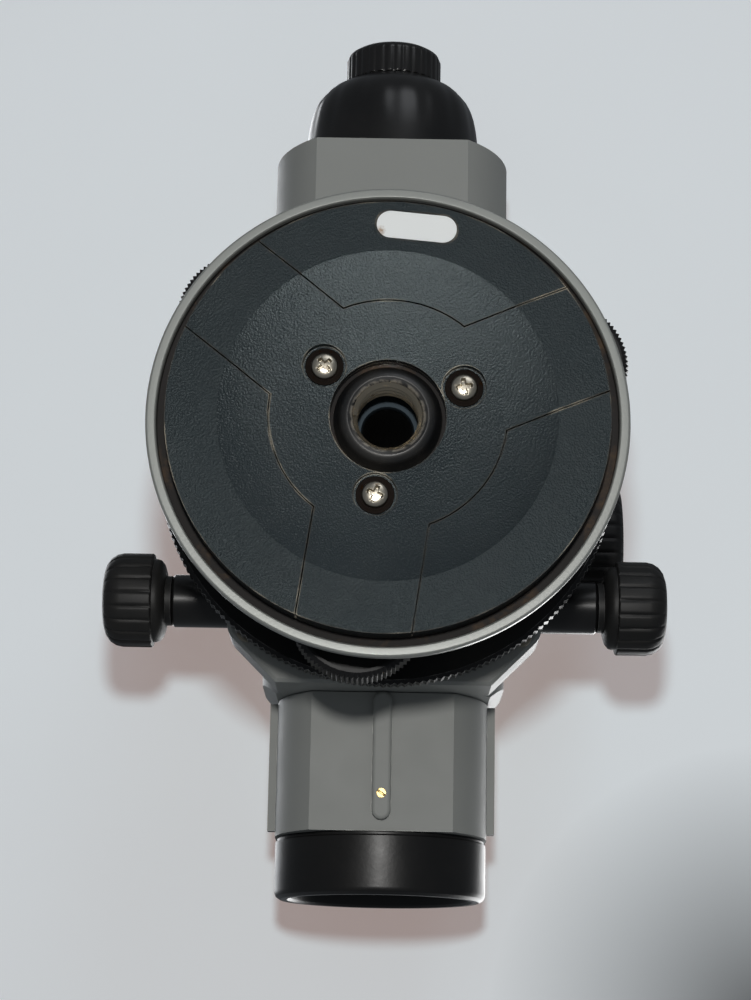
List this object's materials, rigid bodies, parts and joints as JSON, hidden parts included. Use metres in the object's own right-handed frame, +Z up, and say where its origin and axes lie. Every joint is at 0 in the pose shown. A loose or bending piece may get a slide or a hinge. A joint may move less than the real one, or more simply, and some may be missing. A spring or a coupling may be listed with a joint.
{
  "type": "automatic level",
  "caption": "Automatic surveying level: telescope with compensator on a levelling base with foot screws, horizontal circle, endless fine motion and tripod thread.",
  "frame": {"origin": "on the tripod thread's axis, at the plane that the base stands on", "axes": "+Z up along the vertical axis, -Y along the line of sight out of the objective, +Y towards the observer's eyepiece, -X on the observer's right with the focusing knob"},
  "size_m": [0.1372, 0.2267, 0.1215],
  "materials": {
    "grey_paint": "smooth semi-gloss warm grey enamel",
    "crinkle_black": "fine crinkle, dark blue-grey",
    "satin_black": "satin black, worn to metal on edges",
    "nickel": "nickel plate, slightly tarnished",
    "steel": "turned",
    "brass": "turned",
    "alloy": "turned, blue-grey anodised",
    "gloss_black": "gloss",
    "knob_black": "matte, ribbed",
    "fibre": "matte fibre washer",
    "glass": "coated optical glass",
    "mirror_silver": "polished",
    "label_white": "satin film"
  },
  "bodies": {
    "base": {"base_plate": "grey_paint", "bottom_disc": "crinkle_black", "spring_plate": "crinkle_black", "tripod_bush": "satin_black", "plate_screws": "nickel", "plate_washers": "nickel", "base_label": "label_white", "foot_seats": "steel"},
    "tribrach": {"tribrach": "satin_black", "axis_sleeve": "brass", "foot_bushes": "brass", "foot_washers_rear": "fibre"},
    "front_foot_travel": {"foot_washer_front": "fibre"},
    "front_foot_screw": {"foot_screw_front": "steel", "foot_wheel_front": "satin_black"},
    "left_foot_screw": {"foot_screw_left": "steel", "foot_wheel_left": "satin_black"},
    "right_foot_screw": {"foot_screw_right": "steel", "foot_wheel_right": "satin_black"},
    "circle": {"circle_ring": "satin_black", "circle_scale": "alloy"},
    "alidade": {"lower_cover": "grey_paint", "housing_screws": "nickel", "housing": "grey_paint", "top_cover": "grey_paint", "vertical_spindle": "steel", "axis_retainer": "alloy", "tangent_tubes": "gloss_black", "barrel": "grey_paint", "rib_set_screw": "brass", "objective_ring": "satin_black", "objective_cell": "satin_black", "objective_lenses": "glass", "focus_boss": "gloss_black", "compensator_frame": "satin_black", "pendulum_pin": "steel", "fixed_prisms": "glass", "eyepiece_tube": "satin_black", "reticle_holder": "satin_black", "reticle_glass": "glass", "bell_cover": "gloss_black", "level_housing": "grey_paint", "level_vial": "glass", "level_screws": "nickel", "peep_sight": "satin_black"},
    "fine_motion": {"tangent_shaft": "steel", "tangent_knobs": "knob_black"},
    "clutch_wheel": {"worm_wheel": "brass"},
    "focus_drive": {"focus_pinion": "steel", "focus_knob": "knob_black"},
    "focus_slider": {"focus_cell": "satin_black", "focus_lens": "glass"},
    "compensator": {"pendulum": "alloy", "pendulum_prism": "glass"},
    "eyepiece": {"eyepiece_ring": "gloss_black"},
    "ocular": {"ocular_tube": "brass", "ocular_lenses": "glass"},
    "mirror": {"mirror_frame": "satin_black", "mirror_glass": "mirror_silver"}
  },
  "joints": [
    {"name": "levelling_tilt", "type": "hinge", "parent": "base", "child": "tribrach", "pos_m": [0.03428, 0.02678, 0.0092], "axis": [0.9903, 0.1392, 0], "range_deg": [-2.5, 2.5]},
    {"name": "front_foot_travel", "type": "slide", "parent": "tribrach", "child": "front_foot_travel", "axis": [0, 0, 1], "range_m": [-0.00284, 0.00284]},
    {"name": "front_foot_turn", "type": "hinge", "parent": "front_foot_travel", "child": "front_foot_screw", "pos_m": [0.00605, -0.04308, 0.0092], "axis": [0, 0, 1], "range_deg": [-1366, 1366]},
    {"name": "left_foot_turn", "type": "hinge", "parent": "tribrach", "child": "left_foot_screw", "pos_m": [0.03428, 0.02678, 0.0092], "axis": [0, 0, 1], "range_deg": [-1366, 1366]},
    {"name": "right_foot_turn", "type": "hinge", "parent": "tribrach", "child": "right_foot_screw", "pos_m": [-0.04033, 0.0163, 0.0092], "axis": [0, 0, 1], "range_deg": [-1366, 1366]},
    {"name": "circle_turn", "type": "hinge", "parent": "tribrach", "child": "circle", "pos_m": [0, 0, 0.044], "axis": [0, 0, 1], "continuous": true},
    {"name": "alidade_turn", "type": "hinge", "parent": "tribrach", "child": "alidade", "pos_m": [0, 0, 0.055], "axis": [0, 0, 1], "continuous": true},
    {"name": "fine_motion_turn", "type": "hinge", "parent": "alidade", "child": "fine_motion", "pos_m": [0, -0.033, 0.0572], "axis": [1, 0, 0], "continuous": true},
    {"name": "clutch_wheel_turn", "type": "hinge", "parent": "alidade", "child": "clutch_wheel", "pos_m": [0, 0, 0.0572], "axis": [0, 0, 1], "continuous": true},
    {"name": "focus_turn", "type": "hinge", "parent": "alidade", "child": "focus_drive", "pos_m": [-0.05, -0.013, 0.085], "axis": [1, 0, 0], "range_deg": [-150, 150]},
    {"name": "focus_travel", "type": "slide", "parent": "alidade", "child": "focus_slider", "axis": [0, 1, 0], "range_m": [-0.00785, 0.00785]},
    {"name": "compensator_swing", "type": "hinge", "parent": "alidade", "child": "compensator", "pos_m": [0, 0.036, 0.105], "axis": [1, 0, 0], "range_deg": [-0.5, 0.5], "stiffness_Nm_per_rad": 0.05},
    {"name": "eyepiece_turn", "type": "hinge", "parent": "alidade", "child": "eyepiece", "pos_m": [0, 0.12, 0.085], "axis": [0, 1, 0], "range_deg": [-170, 170]},
    {"name": "ocular_travel", "type": "slide", "parent": "alidade", "child": "ocular", "axis": [0, 1, 0], "range_m": [-0.00148, 0.00148]},
    {"name": "mirror_fold", "type": "hinge", "parent": "alidade", "child": "mirror", "pos_m": [0.0435, -0.002, 0.0982], "axis": [1, 0, 0], "range_deg": [0, 60]}
  ],
  "couplings": [
    {"joint": "levelling_tilt", "follows": "front_foot_travel", "rad_per_m": 15.326},
    {"joint": "front_foot_turn", "follows": "front_foot_travel", "rad_per_m": 8377.6},
    {"joint": "clutch_wheel_turn", "follows": "fine_motion_turn", "ratio": -0.017544},
    {"joint": "focus_turn", "follows": "focus_travel", "rad_per_m": 333.33},
    {"joint": "eyepiece_turn", "follows": "ocular_travel", "rad_per_m": 2000}
  ]
}
